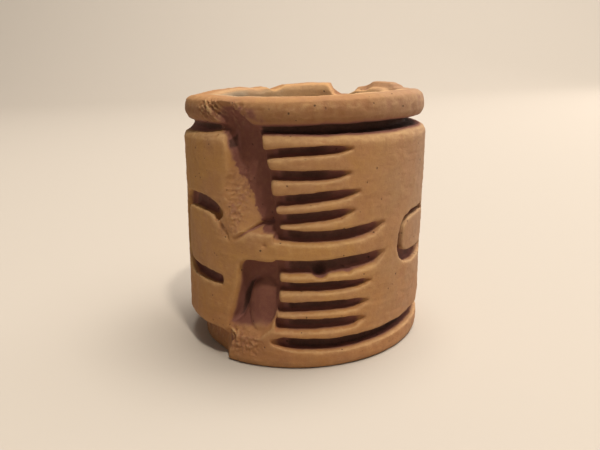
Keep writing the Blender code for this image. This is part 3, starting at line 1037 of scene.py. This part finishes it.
@dataclass(frozen=True)
class FiredClay:
    """The finish of the fired clay, with earth and painted shade in its cuts, painted highlights on its
    edges, painted reflection on its right side and painted light in its bore. Colours are linear.
    """

    name: str = "fired_clay"
    tan: Rgb = (0.405, 0.205, 0.083)
    ochre: Rgb = (0.440, 0.228, 0.070)
    reflected_grey: Rgb = (0.340, 0.212, 0.130)
    # grey: painted reflection of the pale paper on the right side
    orange: Rgb = (0.425, 0.182, 0.064)
    rose: Rgb = (0.300, 0.135, 0.080)
    # pale: the torn fibres, and the painted highlight on the edges
    pale: Rgb = (0.640, 0.440, 0.210)
    # bore and lit_far_bore: the bore's inner wall, painted paler where light falls on it
    bore: Rgb = (0.370, 0.300, 0.205)
    lit_far_bore: Rgb = (0.680, 0.425, 0.215)
    collar: Rgb = (0.238, 0.102, 0.037)
    # earth: earth and painted shade in the recesses
    earth_and_shade: Rgb = (0.155, 0.053, 0.038)
    # dark: painted shade with some dirt in the cuts, and the darker rough and random tones
    dark: Rgb = (0.225, 0.092, 0.070)
    pebble: Rgb = (0.030, 0.018, 0.012)
    radius: float = 22.5 * MM
    height: float = 46.0 * MM

    def body_colour(self, bench: Bench, where: Shade) -> Shade:
        """Mixes the clay's colour, more orange at the foot, with painted reflection greying the right side
        and painted light paling the bore.
        """
        axes = bench.add("ShaderNodeSeparateXYZ", {}, {"Vector": where}, "X")
        broad = bench.cloud(where, 13 * MM, 3.0, 0.4)
        patchy = bench.cloud(where, 5 * MM, 4.0, 0.5)
        colour = bench.mix(self.tan, self.ochre, (broad + patchy * 0.4).between(0.55, 0.85))
        browned = bench.mark(Mark.COLLAR) * (0.60 + 0.5 * patchy)
        colour = bench.mix(colour, self.collar, browned)
        # Painted reflection: the right side greys, as light from the pale paper falls on it.
        rightward = axes * (0.6 / self.radius) + broad * 0.6
        colour = bench.mix(colour, self.reflected_grey, rightward.between(0.45, 1.00) * 0.85)
        low = axes.twin("Z") * (-1.0 / self.height) + patchy * 0.7 + 0.45
        colour = bench.mix(colour, self.orange, low.between(0.35, 0.85) * 0.6)
        colour = bench.mix(colour, self.rose, patchy.between(0.60, 0.80) * 0.30)
        # Painted light: the bore's inner wall is paler, greyer on the left and a brighter yellow elsewhere.
        leftward = (axes * (-0.8 / self.radius) + patchy * 0.4).between(0.10, 0.80)
        lit_lining = bench.mix(self.lit_far_bore, self.bore, leftward)
        lit_lining_share = bench.mark(Mark.BORE) * (0.45 + 0.5 * patchy + 0.3 * leftward)
        return bench.mix(colour, lit_lining, lit_lining_share)

    def build(self) -> bpy.types.Material:
        """Makes the material.

        Returns:
            The clay, which reads the attributes that the mesh was marked with.
        """
        bench = Bench(self.name)
        where = bench.add("ShaderNodeTexCoord", {}, {}, "Object")
        recess = bench.mark(Mark.RECESS)
        cut = bench.mark(Mark.CUT)
        edge = bench.mark(Mark.EDGE)
        cavity = bench.mark(Mark.CAVITY)
        rough = bench.mark(Mark.ROUGH)
        streak = bench.mark(Mark.STREAK)

        patchy = bench.cloud(where, 4.5 * MM, 4.0, 0.6)
        fine = bench.cloud(where, 0.9 * MM, 4.0)
        dust = bench.cloud(where, 0.28 * MM, 2.0)
        flat = bench.add(
            "ShaderNodeMapping", {"vector_type": "POINT"}, {"Vector": where, "Scale": (1.0, 1.0, 7.0)}
        )
        wiped = bench.cloud(flat, 3.0 * MM, 3.0, 0.2)

        colour = self.body_colour(bench, where)
        # Painted highlight on the rounded edges.
        colour = bench.mix(colour, self.pale, edge * (0.05 + 0.5 * fine))
        # Earth and painted shade: the recesses flush rose, then darken the deeper they lie.
        flushed = (recess * 1.6 + (fine - 0.5) * 0.9).between(0.35, 1.1)
        colour = bench.mix(colour, self.rose, flushed * 0.7)
        darkening = (recess + (patchy - 0.5) * 0.35 + (fine - 0.5) * 0.3).between(0.35, 0.85)
        mottled = bench.mix(self.earth_and_shade, self.rose, (fine + patchy - 0.6).between(0.25, 0.65) * 0.25)
        colour = bench.mix(colour, mottled, darkening * 0.95)
        colour = bench.mix(colour, self.dark, rough * (0.6 - streak) * fine.between(0.35, 0.70) * 0.8)
        colour = bench.mix(colour, self.pale, streak * fine.between(0.30, 0.65) * 0.60)
        # Painted shade with some dirt: the cuts, neck, cracks and pockets darken, more where they are
        # dented.
        shade_and_dirt = (cut * (0.8 + 0.5 * cavity) + (fine - 0.5) * 0.35).between(0.22, 0.85)
        colour = bench.mix(colour, self.dark, shade_and_dirt * 0.90)
        # Painted shadow: the deepest pockets turn nearly black, with some dark residue.
        colour = bench.mix(colour, self.pebble, cut.between(0.95, 1.30) * 0.8)

        shaken = bench.add(
            "ShaderNodeVectorMath",
            {"operation": "MULTIPLY_ADD"},
            {0: fine.twin("Color"), 1: (0.5 * MM, 0.5 * MM, 0.5 * MM), 2: where},
            "Vector",
        )
        speck = bench.cells(shaken, 1.5 * MM).between(0.15, 0.07)
        chosen = bench.cloud(where, 1.9 * MM, 1.0).between(0.50, 0.58)
        colour = bench.mix(colour, self.pebble, speck * chosen * 0.75)
        tint = (fine * 0.45 + dust * 0.30 + wiped * 0.15 + patchy * 0.25).between(0.40, 0.75)
        colour = bench.mix(bench.mix(colour, self.dark, 0.26), colour, tint)

        bench.plug(bench.shader.inputs["Base Color"], colour)
        bench.plug(bench.shader.inputs["Roughness"], 0.90 - 0.14 * (1.0 - darkening) * fine)
        bench.shader.inputs["Specular IOR Level"].default_value = 0.30

        relief = fine * 0.7 + dust * 0.4 + wiped * 0.3 - speck * chosen * 0.9
        bump = bench.add(
            "ShaderNodeBump",
            {},
            {"Strength": 0.8, "Distance": 0.12 * MM, "Height": relief},
            "Normal",
        )
        bench.plug(bench.shader.inputs["Normal"], bump)
        return bench.material


@dataclass(frozen=True)
class Lamp:
    """A soft square light.

    Attributes:
        name: its name.
        place: where it hangs.
        size: the length of its side.
        power: its power in watts.
        colour: its colour.
        target: what it faces, the seal at first.
    """

    name: str
    place: Place
    size: float
    power: float
    colour: Rgb
    target: Place = (0.0, 0.0, 0.02)

    def build(self) -> None:
        """Hangs the light."""
        data = bpy.data.lights.new(self.name, "AREA")
        data.size = self.size
        data.energy = self.power
        data.color = self.colour
        lamp = bpy.data.objects.new(self.name, data)
        lamp.location = self.place
        towards = Vector(self.target) - Vector(self.place)
        lamp.rotation_euler = towards.to_track_quat("-Z", "Y").to_euler()
        bpy.context.scene.collection.objects.link(lamp)


@dataclass
class Studio:
    """A pale sweep and soft light from the upper right."""

    half_width: float = 1.6
    front: float = -1.4
    back: float = 1.1
    wall_height: float = 1.6
    sweep_radius: float = 0.5
    floor_colour: Rgb = (0.465, 0.414, 0.358)
    key_turn: float = math.radians(25.5)
    key_rise: float = math.radians(62.0)
    key_distance: float = 0.8
    soft_lights: tuple[Lamp, ...] = (
        Lamp("top_softbox", (0.42, 0.0, 1.08), 1.1, 9.0, (1.0, 0.95, 0.88)),
        Lamp("backdrop_wash", (0.25, 0.25, 1.25), 0.8, 18.5, (1.0, 0.96, 0.90), (0.3, 1.1, 0.35)),
        Lamp("side_card", (0.50, 0.38, 0.20), 0.35, 0.9, (1.0, 0.90, 0.86)),
    )
    glow_colour: Rgb = (1.0, 0.94, 0.87)
    glow_strength: float = 0.175

    def build(self) -> None:
        """Builds the sweep, the lights and the surrounding glow."""
        self.add_sweep()
        for light in (self.key_light(), *self.soft_lights):
            light.build()
        world = bpy.data.worlds.new("soft_room")
        world.use_nodes = True
        glow = world.node_tree.nodes["Background"]
        glow.inputs["Color"].default_value = (*self.glow_colour, 1.0)
        glow.inputs["Strength"].default_value = self.glow_strength
        bpy.context.scene.world = world
        bpy.context.scene.view_settings.view_transform = "Standard"

    def key_light(self) -> Lamp:
        """Places the small light that throws the shadows."""
        level = self.key_distance * math.cos(self.key_rise)
        place = (
            level * math.sin(self.key_turn),
            -level * math.cos(self.key_turn),
            self.key_distance * math.sin(self.key_rise),
        )
        return Lamp("key_light", place, 0.045, 3.1, (1.0, 0.93, 0.82))

    def add_sweep(self) -> None:
        """Bends one sheet from the floor up into a backdrop."""
        depth = self.back - self.front
        bpy.ops.object.select_all(action="DESELECT")
        bpy.ops.mesh.primitive_plane_add(size=1.0, location=(0.0, self.front + depth / 2, 0.0))
        sweep = bpy.context.object
        sweep.name = "pale_sweep"
        sweep.scale = (2 * self.half_width, depth, 1.0)
        bpy.ops.object.transform_apply(location=True, rotation=False, scale=True)
        bpy.ops.object.mode_set(mode="EDIT")
        bpy.ops.mesh.select_all(action="DESELECT")
        bpy.ops.object.mode_set(mode="OBJECT")
        for edge in sweep.data.edges:
            ends = [sweep.data.vertices[k].co.y for k in edge.vertices]
            edge.select = min(ends) > self.back - 0.01
        bpy.ops.object.mode_set(mode="EDIT")
        bpy.ops.mesh.select_mode(type="EDGE")
        bpy.ops.mesh.extrude_region_move(TRANSFORM_OT_translate={"value": (0.0, 0.0, self.wall_height)})
        bpy.ops.object.mode_set(mode="OBJECT")
        for edge in sweep.data.edges:
            ends = [sweep.data.vertices[k].co for k in edge.vertices]
            edge.select = all(abs(end.y - self.back) < 0.01 and end.z < 0.01 for end in ends)
        bpy.ops.object.mode_set(mode="EDIT")
        bpy.ops.mesh.bevel(offset=self.sweep_radius, segments=24, affect="EDGES")
        bpy.ops.object.mode_set(mode="OBJECT")
        bpy.ops.object.shade_smooth()
        bench = Bench("pale_paper")
        bench.plug(bench.shader.inputs["Base Color"], self.floor_colour)
        bench.shader.inputs["Roughness"].default_value = 0.9
        bench.shader.inputs["Specular IOR Level"].default_value = 0.2
        sweep.data.materials.append(bench.material)


@dataclass(frozen=True)
class Viewpoint:
    """The camera at the photograph's place, given on the seal's own axis."""

    axis: Axis = field(default_factory=Axis)
    distance: float = 120.66 * MM
    height: float = 53.13 * MM
    pitch: float = 0.2718
    yaw: float = -0.0068
    roll: float = 0.008
    focal_pixels: float = 635.47
    frame_pixels: float = 600.0
    sensor: float = 36.0

    def build(self) -> None:
        """Sets up the camera."""
        sin_yaw, cos_yaw = math.sin(self.yaw), math.cos(self.yaw)
        sin_pitch, cos_pitch = math.sin(self.pitch), math.cos(self.pitch)
        ahead = Vector((sin_yaw * cos_pitch, cos_yaw * cos_pitch, -sin_pitch))
        right = Vector((cos_yaw, -sin_yaw, 0.0))
        above = Vector((sin_yaw * sin_pitch, cos_yaw * sin_pitch, cos_pitch))
        across = math.cos(self.roll) * right + math.sin(self.roll) * above
        upward = math.cos(self.roll) * above - math.sin(self.roll) * right
        place = Matrix((across, upward, -ahead)).transposed().to_4x4()
        place.translation = Vector((0.0, -self.distance, self.height))
        data = bpy.data.cameras.new("photo_camera")
        data.sensor_width = self.sensor
        data.lens = self.focal_pixels / self.frame_pixels * self.sensor
        data.clip_start = MM
        camera = bpy.data.objects.new("photo_camera", data)
        camera.matrix_world = self.axis.matrix() @ place
        bpy.context.scene.collection.objects.link(camera)
        bpy.context.scene.camera = camera


def main() -> None:
    """Loads the frame, dresses the seal and sets the scene round it."""
    logging.basicConfig(level=logging.INFO, format="%(name)s: %(message)s")
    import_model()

    clay = SealBody().build()
    clay.data.materials.append(FiredClay().build())
    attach(clay, "root")
    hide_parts("seal")
    LOG.info("built %s", clay.name)

    Studio().build()
    Viewpoint().build()


if __name__ == "__main__":
    main()
